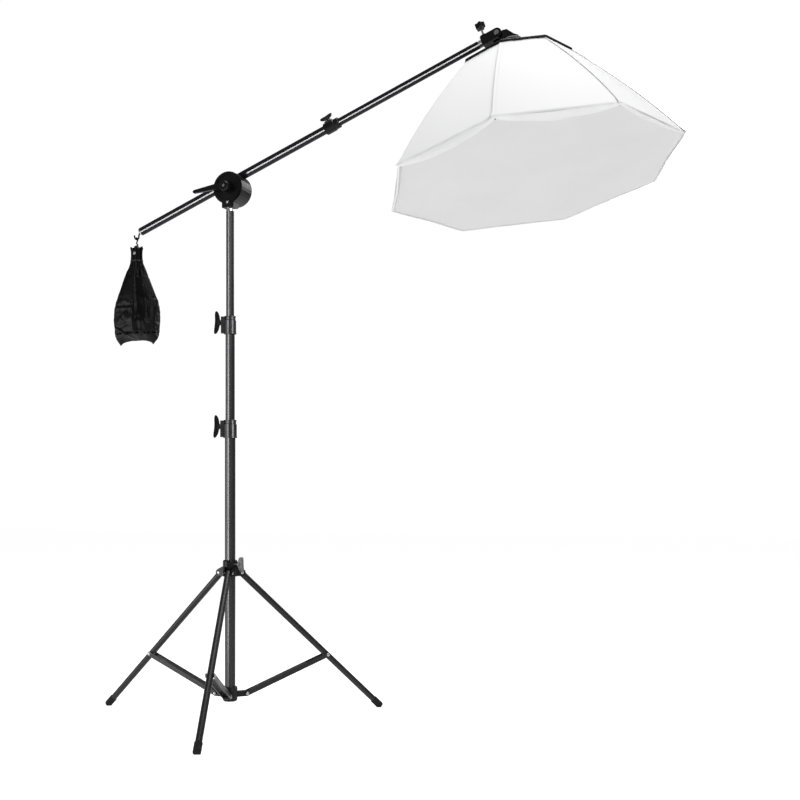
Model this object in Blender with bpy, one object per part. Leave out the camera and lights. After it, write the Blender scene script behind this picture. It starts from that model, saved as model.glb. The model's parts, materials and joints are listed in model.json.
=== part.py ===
"""Octagonal softbox on a boom stand: tripod, telescopic column, boom arm, softbox head and sandbag.

Metres, +Z up, +X along the boom seen from above. The stand's column is the middle of the layout.
Every moving body has an empty on its joint, and the pieces of that body are its children.
"""

import math

import bmesh
import bpy
from mathutils import Matrix, Vector

# --- where things are, measured from the column's axis on the floor ---
COLUMN = (-0.3349, 0.0316)
GAP = 0.0003  # between touching pieces
SIDES = 24

# tripod
LEG_AZIMUTHS = [math.radians(48.7 + 120 * k) for k in range(3)]
LEG_PIVOT = (0.027, 0.353)  # radius, height
BRACE_PIVOT = (0.041, 0.062)
FOOT = (0.396, 0.010)
BRACE_ON_LEG = 0.309  # from the leg's pivot along the leg
LEG_RADIUS = 0.0076
BRACE_GAP = 0.0164  # between the cheeks of a brace, and of a leg clevis
BRACE_WALL = 0.0014
BRACE_DEPTH = 0.011
FORK_LENGTH = 0.058
PIN_RADIUS = 0.0020

# column: outer radius of each tube, wall, and where each tube ends
LOWER_TUBE, MID_TUBE, TOP_TUBE = 0.0125, 0.0110, 0.0095
TUBE_WALL = 0.0012
LOWER_SPAN = (0.0525, 0.6940)
MID_SPAN = (0.3250, 0.9420)
TOP_SPAN = (0.6050, 1.2165)
LOWER_CLAMP_Z = 0.7020
UPPER_CLAMP_Z = 0.9500
LUG_FACE = 0.0110  # of a clamp, beyond the radius of the tube it is on
CLAMP_KNOB_AZIMUTH = math.radians(208)
HUB_KNOB_AZIMUTH = math.radians(348.7)

# boom pivot
SOCKET_Z = 1.2241
SPIGOT_RADIUS = 0.0080
PIVOT_Z = 1.2712
BOOM_Y = 0.0260
BOOM_LIFT = 0.0255  # of the boom's axis above the pivot
BOOM_ANGLE = math.radians(21.9)
DISC_RADIUS = 0.0385
BOLT_RADIUS = 0.0040

# boom, measured along its axis from the pivot
OUTER_BOOM, INNER_BOOM = 0.0100, 0.0088
OUTER_SPAN = (-0.2720, 0.2930)
INNER_SPAN = (0.1700, 0.6720)
BOOM_KNOB_X = 0.2820
HEAD_X = 0.6805
HINGE_X = 0.7190
HEAD_ROLL = math.radians(-5.0)

# softbox, in its own frame: x outward, z from the rim to the back plate, hinge at the origin
FACE_OUT = math.radians(10.5)  # how far the face looks outward from straight down
AXIS_X = 0.029
PLATE_Z = -0.0865
CANOPY_DEPTH = 0.250
RIM_RADIUS = 0.330
BACK_RADIUS = 0.125
CANOPY_BOW = 0.010
CLOTH = 0.0024
FIRST_CORNER = math.radians(3.3)
BULB_RADIUS = 0.034

# sandbag and its hooks
BAG_X, HOOK_Z, RING_Z, BAG_TOP = -0.2760, 1.1745, 1.1590, 1.1438
WIRE = 0.0020  # radius of the tail hook's wire
THIN_WIRE = 0.0016  # radius of the S-hook's and the ring's wire
HOOK_BEND = 0.0060  # radius of the tail hook's bend
LINK = WIRE + THIN_WIRE  # between the middles of two wires that touch
BAG_SKIN = 0.0020
SAND_INSET = BAG_SKIN + 0.0012  # of the sand from the bag's outside


# --- building blocks ---
def material(name, colour, roughness, metallic=0.0):
    found = bpy.data.materials.new(name)
    found.use_nodes = True
    shader = found.node_tree.nodes["Principled BSDF"]
    shader.inputs["Base Color"].default_value = (*colour, 1)
    shader.inputs["Roughness"].default_value = roughness
    shader.inputs["Metallic"].default_value = metallic
    return found


def frame(name, matrix, parent=None):
    """An empty on a joint; matrix is relative to the parent."""
    empty = bpy.data.objects.new(name, None)
    bpy.context.collection.objects.link(empty)
    empty.parent = parent
    empty.matrix_basis = matrix
    return empty


def piece(name, mesh, look, parent, matrix=None, smooth=True):
    bmesh.ops.recalc_face_normals(mesh, faces=mesh.faces)
    data = bpy.data.meshes.new(name)
    mesh.to_mesh(data)
    mesh.free()
    for face in data.polygons:
        face.use_smooth = smooth
    made = bpy.data.objects.new(name, data)
    bpy.context.collection.objects.link(made)
    made.parent = parent
    made.matrix_basis = matrix or Matrix()
    if look:
        data.materials.append(look)
    if smooth:
        data.set_sharp_from_angle(angle=math.radians(35))
    return made


def shape(target, others, operation):
    """Join solids to a piece, or cut them out of it, with Booleans whose operands stay hidden."""
    for number, (mesh, matrix) in enumerate(others):
        name = f"{target.name}_{operation.lower()}_{number}"
        helper = piece(name, mesh, None, target.parent, target.matrix_basis @ matrix)
        helper.hide_render = True
        helper.display_type = "WIRE"
        modifier = target.modifiers.new(name, "BOOLEAN")
        modifier.operation = operation
        modifier.solver = "EXACT"
        modifier.object = helper
    return target


def lathe(profile, sides=SIDES):
    """A closed outline of (radius, height) turned about Z; radius 0 makes a pole."""
    mesh = bmesh.new()
    rings = []
    for radius, height in profile:
        if radius == 0:
            rings.append([mesh.verts.new((0, 0, height))])
            continue
        turns = (2 * math.pi * k / sides for k in range(sides))
        ring = [mesh.verts.new((radius * math.cos(a), radius * math.sin(a), height)) for a in turns]
        rings.append(ring)
    for low, high in zip(rings, rings[1:] + rings[:1]):
        if len(low) == len(high) == 1:
            continue
        for k in range(sides):
            corners = [low[k % len(low)], low[(k + 1) % len(low)]]
            corners += [high[(k + 1) % len(high)], high[k % len(high)]]
            mesh.faces.new(list(dict.fromkeys(corners)))
    return mesh


def rod(radius, low, high, sides=SIDES):
    return lathe([(0, low), (radius, low), (radius, high), (0, high)], sides)


def pipe(outer, inner, low, high, sides=SIDES):
    return lathe([(inner, low), (outer, low), (outer, high), (inner, high)], sides)


def prism(outline, low, high):
    """An outline of (x, y) points extruded along Z."""
    mesh = bmesh.new()
    base = mesh.faces.new([mesh.verts.new((x, y, low)) for x, y in outline])
    walls = bmesh.ops.extrude_face_region(mesh, geom=[base])
    moved = [v for v in walls["geom"] if isinstance(v, bmesh.types.BMVert)]
    bmesh.ops.translate(mesh, vec=(0, 0, high - low), verts=moved)
    return mesh


def box(low, high):
    (x0, y0, z0), (x1, y1, z1) = low, high
    return prism([(x0, y0), (x1, y0), (x1, y1), (x0, y1)], z0, z1)


def bridge(mesh, rings):
    """Joins each ring of vertices to the next one."""
    for low, high in zip(rings, rings[1:]):
        count = len(low)
        for k in range(count):
            mesh.faces.new([low[k], low[(k + 1) % count], high[(k + 1) % count], high[k]])


def pouch(outside, inside):
    """A skin open at its first ring and closed at its last one."""
    mesh = bmesh.new()
    outer, inner = ([[mesh.verts.new(p) for p in ring] for ring in rings] for rings in (outside, inside))
    for rings in (outer, inner, [outer[0], inner[0]]):
        bridge(mesh, rings)
    mesh.faces.new(outer[-1])
    mesh.faces.new(inner[-1])
    return mesh


def loft(rings, closed=False):
    """Rings of points with equal counts; capped at both ends, or joined last to first."""
    mesh = bmesh.new()
    made = [[mesh.verts.new(p) for p in ring] for ring in rings]
    bridge(mesh, made + made[:1] if closed else made)
    if not closed:
        mesh.faces.new(made[0])
        mesh.faces.new(made[-1])
    return mesh


def wire(path, radius, sides=8):
    """A round bar along a list of points."""
    rings = []
    points = [Vector(p) for p in path]
    side = None
    for k, point in enumerate(points):
        ahead = points[min(k + 1, len(points) - 1)] - points[max(k - 1, 0)]
        upright = ahead.to_track_quat("Z", "Y").to_matrix()
        side = upright.col[0] if side is None else (side - side.project(ahead)).normalized()
        other = ahead.normalized().cross(side)
        angles = [2 * math.pi * n / sides for n in range(sides)]
        rings.append([point + radius * (math.cos(a) * side + math.sin(a) * other) for a in angles])
    return loft(rings)


def arc(centre, radius, start, end, steps):
    """Points of an arc in a plane, angles in degrees."""
    turns = [math.radians(start + (end - start) * k / steps) for k in range(steps + 1)]
    return [(centre[0] + radius * math.cos(a), centre[1] + radius * math.sin(a)) for a in turns]


def move(x=0.0, y=0.0, z=0.0):
    return Matrix.Translation((x, y, z))


def turn(angle, axis):
    return Matrix.Rotation(angle, 4, axis)


ALONG_X = turn(math.pi / 2, "Y")  # stands a turned part along +X
ALONG_Y = turn(-math.pi / 2, "X")  # stands a turned part along +Y


def wing_knob(name, look, parent, stud, face, middle, grip, half_span):
    """A wing screw along +Z: its threaded end, hub and bent bar, whose half thickness is grip."""
    bend, slant = half_span * 0.15, half_span * 0.055
    upper, lower = [], []
    for share in (-1, -0.97, -0.87, -0.6, -0.3, 0, 0.3, 0.6, 0.87, 0.97, 1):
        half = grip * math.sqrt(1 - share ** 4)
        centre = middle + bend * share ** 2 + slant * share
        upper.append((half_span * share, centre + half))
        lower.append((half_span * share, centre - half))
    bar = prism(upper + lower[-2:0:-1], -grip * 0.75, grip * 0.75)
    made = piece(name, rod(0.0024, stud, middle, 12), look, parent)
    hub = rod(0.0065, face + GAP, middle, 16)
    return shape(made, [(hub, Matrix()), (bar, turn(math.pi / 2, "X"))], "UNION")


def make_looks():
    return {
        "satin": material("dark_grey_satin", (0.035, 0.035, 0.038), 0.38, 0.6),
        "gloss": material("gloss_black_tube", (0.008, 0.008, 0.009), 0.18, 0.3),
        "plastic": material("black_plastic", (0.012, 0.012, 0.013), 0.45),
        "lever": material("grey_plastic", (0.12, 0.12, 0.125), 0.5),
        "chrome": material("chrome_plate", (0.75, 0.75, 0.77), 0.12, 1.0),
        "steel": material("zinc_steel", (0.55, 0.55, 0.57), 0.3, 1.0),
        "rubber": material("black_rubber", (0.01, 0.01, 0.01), 0.8),
        "white": material("white_cloth", (0.86, 0.86, 0.86), 0.9),
        "diffuser": material("diffusion_cloth", (0.78, 0.78, 0.78), 0.95),
        "bag": material("black_nylon", (0.012, 0.012, 0.013), 0.7),
        "sand": material("sand", (0.45, 0.36, 0.24), 0.95),
        "glass": material("bulb_glass", (0.9, 0.9, 0.88), 0.3),
        "brass": material("bulb_cap_metal", (0.72, 0.62, 0.4), 0.3, 1.0),
    }


# --- tripod ---
def around(azimuth):
    return turn(azimuth, "Z")


def make_base(look, stand):
    """Bottom collar with three lugs, the pins of the braces, and the fixed lower tube."""
    collar = [(0, 0.0460), (0.0150, 0.0460), (0.0175, 0.0490), (0.0175, 0.0790), (0.0158, 0.0810)]
    bore = LOWER_TUBE + GAP
    collar += [(bore, 0.0810), (bore, 0.0520), (0, 0.0520)]
    hub = piece("base_hub", lathe(collar), look["plastic"], stand)
    radius, height = BRACE_PIVOT
    nose = [(0.0150, height - 0.0065)] + arc((radius, height), 0.0065, -90, 90, 8)
    nose.append((0.0150, height + 0.0065))
    half = BRACE_GAP / 2 - GAP
    lugs, holes = [], []
    for azimuth in LEG_AZIMUTHS:
        upright = around(azimuth) @ turn(math.pi / 2, "X")
        lugs.append((prism(nose, -half, half), upright))
        holes.append((rod(PIN_RADIUS + GAP, -0.02, 0.02, 12), upright @ move(radius, height)))
    shape(hub, lugs, "UNION")
    shape(hub, holes, "DIFFERENCE")
    for number, azimuth in enumerate(LEG_AZIMUTHS, 1):
        spot = around(azimuth) @ move(radius, 0, height) @ turn(math.pi / 2, "X")
        piece(f"brace_pin_{number}", rivet(BRACE_GAP / 2 + BRACE_WALL), look["steel"], stand, spot)
    tube = pipe(LOWER_TUBE, LOWER_TUBE - TUBE_WALL, *LOWER_SPAN)
    piece("lower_column", tube, look["satin"], stand)


def rivet(half):
    """A pin along Z with a domed head outside each cheek, half a grip either way."""
    head = [(0.0022, 0.0017), (0.0038, 0.0007), (0.0042, GAP)]
    top = [(r, half + z) for r, z in reversed(head)]
    bottom = [(r, -half - z) for r, z in head]
    neck = [(PIN_RADIUS, -half - GAP), (PIN_RADIUS, half + GAP)]
    return lathe([(0, -half - 0.0017), *bottom, *neck, *top, (0, half + 0.0017)], 12)


def make_leg_hub(look, slider):
    """Collar that slides on the lower tube, with a clevis for each leg. Its origin is at the pivots."""
    bore = LOWER_TUBE + GAP
    profile = [(bore, -0.0090), (0.0165, -0.0090), (0.0172, 0.0040), (0.0172, 0.0270)]
    profile += [(0.0158, 0.0300), (bore, 0.0300)]
    hub = piece("leg_hub", lathe(profile), look["plastic"], slider)
    radius = LEG_PIVOT[0]
    inner, outer = BRACE_GAP / 2, BRACE_GAP / 2 + 0.0024
    cheek = [(0.0128, -0.0085)] + arc((radius, 0.0), 0.0085, -90, 60, 8) + [(0.0150, 0.0150)]
    cheek.append((0.0134, 0.0150))
    cheeks, holes = [], []
    for azimuth in LEG_AZIMUTHS:
        upright = around(azimuth) @ turn(math.pi / 2, "X")
        cheeks += [(prism(cheek, inner, outer), upright), (prism(cheek, -outer, -inner), upright)]
        holes.append((rod(PIN_RADIUS + GAP, -0.02, 0.02, 12), upright @ move(radius)))
    boss = around(HUB_KNOB_AZIMUTH) @ move(z=0.0200) @ ALONG_X
    shape(hub, cheeks, "UNION")
    shape(hub, [(rod(0.0070, 0.0145, 0.0250, 16), boss)], "UNION")
    shape(hub, holes, "DIFFERENCE")
    cuts = [(rod(0.0027, 0.0100, 0.0300, 12), boss), (rod(bore, -0.02, 0.04), Matrix())]
    shape(hub, cuts, "DIFFERENCE")
    for number, azimuth in enumerate(LEG_AZIMUTHS, 1):
        spot = around(azimuth) @ move(radius) @ turn(math.pi / 2, "X")
        piece(f"leg_pin_{number}", rivet(outer), look["steel"], slider, spot)


def make_leg(number, look, pivot, slope):
    """One leg: a tube along +X from its pivot, round ended, with a rubber foot over the far end."""
    length = math.hypot(FOOT[0] - LEG_PIVOT[0], LEG_PIVOT[1] - FOOT[1])
    inner = LEG_RADIUS - TUBE_WALL
    dome = [(LEG_RADIUS * math.cos(a), -LEG_RADIUS * math.sin(a)) for a in (1.2, 0.8, 0.4, 0.0)]
    profile = [(0, -LEG_RADIUS), *dome, (LEG_RADIUS, length), (inner, length), (inner, 0.016), (0, 0.016)]
    leg = piece(f"leg_{number}", lathe(profile), look["satin"], pivot, ALONG_X)
    across = turn(math.pi / 2, "X")
    shape(leg, [(rod(PIN_RADIUS + GAP, -0.02, 0.02, 12), across)], "DIFFERENCE")
    low, high, wall = length - 0.024, length + 0.0110, 0.0030
    bore = LEG_RADIUS + GAP
    cup = [(bore, low), (bore + wall * 0.6, low), (bore + wall, low + 0.004), (bore + wall, high - 0.006)]
    cup += [(bore, high), (0, high), (0, length + GAP), (bore, length + GAP)]
    foot = piece(f"leg_foot_{number}", lathe(cup), look["rubber"], pivot, ALONG_X)
    level = turn(-slope, "Y") @ move(0, 0, -LEG_PIVOT[1])
    floor = box((-0.1, -0.1, -0.03), (0.6, 0.1, 0))
    shape(foot, [(floor, ALONG_X.inverted() @ level)], "DIFFERENCE")


def make_brace(number, look, pivot, length):
    """A channel along +X from its pivot; its far end is an open fork that straddles the leg."""
    inner, outer = BRACE_GAP / 2, BRACE_GAP / 2 + BRACE_WALL
    half = BRACE_DEPTH / 2
    side = arc((0, 0), half, 90, 270, 8) + arc((length, 0), half, -90, 90, 8)
    cheek = turn(math.pi / 2, "X")
    brace = piece(f"brace_{number}", prism(side, inner, outer), look["satin"], pivot, cheek)
    web = box((0.010, half - BRACE_WALL, -outer), (length - FORK_LENGTH, half, outer))
    parts = [(prism(side, -outer, -inner), Matrix()), (web, Matrix())]
    for sign in (-1, 1):
        head = lathe([(0, 0), (0.0040, 0), (0.0036, 0.0009), (0.0020, 0.0016), (0, 0.0016)], 12)
        flip = Matrix.Diagonal((1, 1, sign, 1))
        parts.append((head, move(length, 0, sign * (outer - 0.0002)) @ flip))
    shape(brace, parts, "UNION")
    shape(brace, [(rod(PIN_RADIUS + GAP, -0.02, 0.02, 12), Matrix())], "DIFFERENCE")


def make_tripod(look, stand):
    make_base(look, stand)
    radius, height = LEG_PIVOT
    slider = frame("leg_hub_slider", move(z=height), stand)
    make_leg_hub(look, slider)
    slope = math.atan2(height - FOOT[1], FOOT[0] - radius)
    joint = Vector((radius + BRACE_ON_LEG * math.cos(slope), height - BRACE_ON_LEG * math.sin(slope)))
    reach = joint - Vector(BRACE_PIVOT)
    rise = math.atan2(reach.y, reach.x)
    for number, azimuth in enumerate(LEG_AZIMUTHS, 1):
        hinge = around(azimuth) @ move(radius) @ turn(slope, "Y")
        make_leg(number, look, frame(f"leg_{number}_pivot", hinge, slider), slope)
        hinge = around(azimuth) @ move(BRACE_PIVOT[0], 0, BRACE_PIVOT[1]) @ turn(-rise, "Y")
        make_brace(number, look, frame(f"brace_{number}_pivot", hinge, stand), reach.length)
    knob = around(HUB_KNOB_AZIMUTH) @ move(z=0.0200) @ ALONG_X
    screw = frame("hub_knob_axis", knob, slider)
    wing_knob("hub_knob", look["lever"], screw, LOWER_TUBE + GAP, 0.0250, 0.0325, 0.0055, 0.0175)


# --- column ---
def make_clamp(name, look, body, below, above):
    """Collar at a tube's top: wide bore on the tube below, narrow bore on the one that slides in it."""
    step = below + GAP, above + GAP
    wall = below + 0.0034
    profile = [(step[0], -0.0270), (wall + 0.0006, -0.0270), (wall + 0.0006, -0.0240), (wall, -0.0232)]
    profile += [(wall, 0.0050), (wall - 0.0015, 0.0065), (wall - 0.0015, 0.0130), (wall - 0.0005, 0.0138)]
    profile += [(wall - 0.0005, 0.0155), (step[1], 0.0155), (step[1], -0.0077), (step[0], -0.0077)]
    clamp = piece(name, lathe(profile), look["plastic"], body)
    boss = around(CLAMP_KNOB_AZIMUTH) @ ALONG_X
    face = below + LUG_FACE
    lug = box((-0.0140, -0.0085, below + 0.0010), (0.0250, 0.0085, face))
    shape(clamp, [(lug, boss)], "UNION")
    cuts = [(rod(0.0027, 0.0060, 0.0400, 12), boss), (rod(step[1], -0.0070, 0.03), Matrix())]
    cuts.append((rod(step[0], -0.0400, -0.0077), Matrix()))
    shape(clamp, cuts, "DIFFERENCE")


def clamp_knob(name, look, body, below, above):
    screw = frame(f"{name}_axis", around(CLAMP_KNOB_AZIMUTH) @ ALONG_X, body)
    face = below + LUG_FACE
    wing_knob(name, look["plastic"], screw, above + 2 * GAP, face, face + 0.0080, 0.0060, 0.0270)


def make_column(look, stand):
    lower = frame("lower_clamp_place", move(z=LOWER_CLAMP_Z), stand)
    make_clamp("lower_clamp", look, lower, LOWER_TUBE, MID_TUBE)
    clamp_knob("lower_clamp_knob", look, lower, LOWER_TUBE, MID_TUBE)
    mid = frame("mid_column_slider", move(z=UPPER_CLAMP_Z), stand)
    make_clamp("upper_clamp", look, mid, MID_TUBE, TOP_TUBE)
    clamp_knob("upper_clamp_knob", look, mid, MID_TUBE, TOP_TUBE)
    low, high = (z - UPPER_CLAMP_Z for z in MID_SPAN)
    piece("mid_column", pipe(MID_TUBE, MID_TUBE - TUBE_WALL, low, high), look["satin"], mid)
    top = frame("top_column_slider", move(z=TOP_SPAN[1] - UPPER_CLAMP_Z), mid)
    length = TOP_SPAN[1] - TOP_SPAN[0]
    piece("top_column", pipe(TOP_TUBE, TOP_TUBE - TUBE_WALL, -length, 0), look["satin"], top)
    flange = SOCKET_Z - TOP_SPAN[1] - GAP
    spigot = [(0, -0.0400), (0.0078, -0.0400), (0.0080, GAP), (0.0092, GAP), (0.0092, flange)]
    spigot += [(SPIGOT_RADIUS, flange), (SPIGOT_RADIUS, 0.0275), (0.0072, 0.0290), (0, 0.0290)]
    piece("column_spigot", lathe(spigot), look["chrome"], top)
    return top


# --- boom pivot ---
def make_pivot(look, top):
    """Socket on the spigot with the fixed disc, the two jaws that grip the boom, bolt and lever."""
    swivel = frame("boom_swivel", move(z=PIVOT_Z - TOP_SPAN[1]), top)
    drop = SOCKET_Z - PIVOT_Z
    half = 0.0125
    bracket = piece("pivot_bracket", rod(DISC_RADIUS, -half, half, 32), look["plastic"], swivel, ALONG_Y)
    socket = box((-0.0155, -half, drop), (0.0155, half, drop + 0.030))
    rim = pipe(DISC_RADIUS - 0.004, DISC_RADIUS - 0.008, -half - 0.0015, -half + 0.001, 32)
    boss = rod(0.0150, -half - 0.0030, 0, SIDES)
    back = ALONG_Y.inverted()
    shape(bracket, [(socket, back), (rim, Matrix()), (boss, Matrix())], "UNION")
    stud = rod(SPIGOT_RADIUS + GAP, drop - 0.01, drop + 0.0225)
    screw_hole = rod(0.0033, -0.03, 0, 12)
    screw_z = 1.2362 - PIVOT_Z
    cuts = [(stud, back), (rod(BOLT_RADIUS + GAP, -0.03, 0.03, 16), Matrix())]
    cuts.append((screw_hole, back @ move(z=screw_z) @ ALONG_Y))
    shape(bracket, cuts, "DIFFERENCE")
    screw = frame("socket_screw_axis", move(z=screw_z) @ ALONG_Y.inverted(), swivel)
    grub = [(0, SPIGOT_RADIUS + GAP), (0.0030, SPIGOT_RADIUS + GAP), (0.0030, 0.0160), (0.0024, 0.0166)]
    grub += [(0.0014, 0.0166), (0.0014, 0.0145), (0, 0.0145)]
    piece("socket_screw", lathe(grub, 12), look["chrome"], screw)

    tilt = frame("boom_tilt", move(y=BOOM_Y) @ turn(-BOOM_ANGLE, "Y"), swivel)
    near, far = half - BOOM_Y + 0.0005, 0.0130
    along_boom = turn(math.pi / 2, "X") @ move(z=BOOM_LIFT) @ ALONG_X
    for name, low, high in (("boom_jaw_near", near, -GAP / 2), ("boom_jaw_far", GAP / 2, far)):
        jaw = piece(name, rod(DISC_RADIUS - 0.0005, low, high, 32), look["plastic"], tilt, ALONG_Y)
        if high == far:
            rib = pipe(0.0240, 0.0190, far - 0.001, far + 0.0015, 32)
            shape(jaw, [(rib, Matrix())], "UNION")
        channel = rod(OUTER_BOOM + GAP, -0.06, 0.06)
        bolt_hole = rod(BOLT_RADIUS + GAP, -0.03, 0.03, 16)
        shape(jaw, [(channel, along_boom), (bolt_hole, Matrix())], "DIFFERENCE")
    head = far + GAP
    tip = -BOOM_Y - 0.0345
    bolt = [(0, tip), (BOLT_RADIUS, tip), (BOLT_RADIUS, head), (0.0078, head), (0.0078, head + 0.005)]
    bolt.append((0, head + 0.005))
    piece("pivot_bolt", lathe(bolt, 12), look["steel"], tilt, ALONG_Y)

    lever = frame("pivot_lever_axis", move(y=-half - 0.0033), swivel)
    hub = [(BOLT_RADIUS + GAP, 0), (0.0115, 0), (0.0125, 0.0030), (0.0125, 0.0150), (0.0105, 0.0210)]
    hub += [(BOLT_RADIUS + GAP, 0.0210)]
    facing = ALONG_Y.inverted()
    made = piece("pivot_lever", lathe(hub), look["plastic"], lever, facing)
    outline = [(-0.0060, 0.0075), (-0.0300, 0.0060), (-0.0560, 0.0015), (-0.0820, -0.0030)]
    outline += [(-0.0860, -0.0065), (-0.0830, -0.0105), (-0.0540, -0.0085), (-0.0280, -0.0065)]
    outline.append((-0.0060, -0.0080))
    arm = prism(outline, 0.0060, 0.0140)
    upright = facing.inverted() @ turn(math.pi / 2, "X")
    shape(made, [(arm, upright)], "UNION")
    shape(made, [(rod(BOLT_RADIUS + GAP, -0.01, 0.04, 16), Matrix())], "DIFFERENCE")
    return tilt


# --- boom ---
def make_boom(look, tilt):
    """Outer tube in the jaws, inner tube with the lock between them, and the tail's plug and hook."""
    outer = frame("boom_outer_slider", move(z=BOOM_LIFT), tilt)
    tube = pipe(OUTER_BOOM, OUTER_BOOM - 0.0009, *OUTER_SPAN)
    piece("boom_outer_tube", tube, look["gloss"], outer, ALONG_X)
    end = OUTER_SPAN[1]
    wide, narrow = OUTER_BOOM + GAP, INNER_BOOM + GAP
    lock = [(wide, end - 0.0260), (0.0130, end - 0.0260), (0.0140, end - 0.0245), (0.0140, end - 0.0010)]
    lock += [(0.0125, end + 0.0005), (0.0125, end + 0.0110), (0.0115, end + 0.0125)]
    lock += [(narrow, end + 0.0125), (narrow, end + GAP), (wide, end + GAP)]
    collar = piece("boom_lock", lathe(lock), look["plastic"], outer, ALONG_X)
    upward = ALONG_X.inverted() @ move(BOOM_KNOB_X) @ turn(math.radians(-25), "X").inverted()
    boss = box((-0.0080, -0.0080, 0.0110), (0.0080, 0.0080, 0.0165))
    shape(collar, [(boss, upward)], "UNION")
    cuts = [(rod(0.0027, 0.0095, 0.03, 12), upward), (rod(wide, end - 0.04, end), Matrix())]
    shape(collar, cuts, "DIFFERENCE")
    hole = (rod(0.0027, 0.0060, 0.03, 12), upward)
    shape(bpy.data.objects["boom_outer_tube"], [hole], "DIFFERENCE")
    knob = frame("boom_knob_axis", move(BOOM_KNOB_X) @ turn(math.radians(25), "X"), outer)
    wing_knob("boom_lock_knob", look["plastic"], knob, INNER_BOOM + 2 * GAP, 0.0165, 0.0225, 0.0045, 0.0155)
    tail = OUTER_SPAN[0]
    plug = [(0, tail - 0.0040), (0.0085, tail - 0.0040), (0.0100, tail - 0.0030), (0.0100, tail - GAP)]
    plug += [(0.0088, tail - GAP), (0.0088, tail + 0.0120), (0, tail + 0.0120)]
    piece("tail_plug", lathe(plug), look["chrome"], outer, ALONG_X)

    inner = frame("boom_inner_slider", move(INNER_SPAN[0]), outer)
    length = INNER_SPAN[1] - INNER_SPAN[0]
    tube = pipe(INNER_BOOM, INNER_BOOM - 0.0009, 0, length)
    piece("boom_inner_tube", tube, look["gloss"], inner, ALONG_X)
    stud = [(0, length - 0.0250), (0.0076, length - 0.0250), (0.0076, length + GAP), (0.0088, length + GAP)]
    head = HEAD_X - INNER_SPAN[0]
    stud += [(0.0088, head - GAP), (0.0050, head - GAP), (0.0050, head + 0.0150), (0, head + 0.0150)]
    piece("boom_stud", lathe(stud), look["chrome"], inner, ALONG_X)
    return outer, inner


def make_tail_hook(look, stand, outer):
    """J-shaped wire from the tail plug; it hangs straight down, so it is drawn in upright axes."""
    bpy.context.view_layer.update()
    upright = outer.matrix_world.inverted() @ stand.matrix_world @ move(0, BOOM_Y, 0)
    tail = stand.matrix_world.inverted() @ outer.matrix_world @ Vector((OUTER_SPAN[0] - 0.0043, 0, 0))
    bend = HOOK_BEND
    lip = arc((BAG_X, HOOK_Z + bend), bend, 20, -170, 10)
    start = Vector((tail.x, tail.z))
    out = Vector((-math.cos(BOOM_ANGLE), -math.sin(BOOM_ANGLE)))
    path = [start, start + out * 0.0022, (BAG_X + bend + 0.0006, HOOK_Z + bend + 0.0045), *lip]
    path.append((BAG_X - bend - 0.0012, HOOK_Z + bend + 0.0045))
    piece("tail_hook", wire([(x, 0, z) for x, z in path], WIRE), look["gloss"], outer, upright)
    return upright


def make_sandbag(look, outer, upright):
    """S-hook, ring, bag and its filling, all hanging plumb under the tail hook."""
    loop = 0.0042
    hang = frame("s_hook_hang", upright @ move(BAG_X, 0, HOOK_Z + HOOK_BEND), outer)
    top = LINK + 0.0005 - loop - HOOK_BEND
    low = RING_Z - LINK - HOOK_Z - HOOK_BEND
    upper = arc((0, top), loop, 200, -70, 14)
    lower = arc((0, low + loop), loop, 110, -160, 14)
    piece("s_hook", wire([(0, y, z) for y, z in upper + lower], THIN_WIRE), look["gloss"], hang)
    swing = frame("bag_swing", move(z=low), hang)
    ring = 0.0065
    centre = LINK - ring
    turns = [2 * math.pi * k / 16 for k in range(16)]
    hoop = []
    for a in turns:
        angles = (2 * math.pi * n / 8 for n in range(8))
        radii = [(ring + THIN_WIRE * math.cos(b), THIN_WIRE * math.sin(b)) for b in angles]
        hoop.append([(r * math.cos(a), y, r * math.sin(a) + centre) for r, y in radii])
    piece("bag_ring", loft(hoop, closed=True), look["steel"], swing)

    neck = BAG_TOP - RING_Z + LINK
    outline = [(0.000, 0.0120, 0.0080), (0.010, 0.0095, 0.0070), (0.023, 0.0140, 0.0105)]
    outline += [(0.065, 0.0340, 0.0210), (0.113, 0.0545, 0.0300), (0.165, 0.0580, 0.0330)]
    outline += [(0.203, 0.0560, 0.0270), (0.226, 0.0480, 0.0110)]

    def bag_ring(drop, wide, deep):
        return [(wide * math.cos(a), deep * math.sin(a), neck - drop) for a in turns]

    hollow = [(drop, wide - BAG_SKIN, deep - BAG_SKIN) for drop, wide, deep in outline[:-1]]
    last_drop, last_wide, last_deep = outline[-1]
    corner = 1.6 * BAG_SKIN
    hollow.append((last_drop - BAG_SKIN, last_wide - corner, last_deep - corner))
    bag = pouch([bag_ring(*size) for size in outline], [bag_ring(*size) for size in hollow])
    piece("sandbag", bag, look["bag"], swing)

    fill = [bag_ring(drop, wide - SAND_INSET, deep - SAND_INSET) for drop, wide, deep in outline[3:-1]]
    piece("sand_fill", loft(fill), look["sand"], swing)


# --- softbox ---
def octagon(radius, height, start=FIRST_CORNER):
    turns = (start + 2 * math.pi * k / 8 for k in range(8))
    return [(radius * math.cos(a), radius * math.sin(a), height) for a in turns]


def canopy_radius(part):
    """Corner radius of the canopy, part 0 at the rim and 1 at the back, a little bowed."""
    return RIM_RADIUS + (BACK_RADIUS - RIM_RADIUS) * part + CANOPY_BOW * 4 * part * (1 - part)


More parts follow.
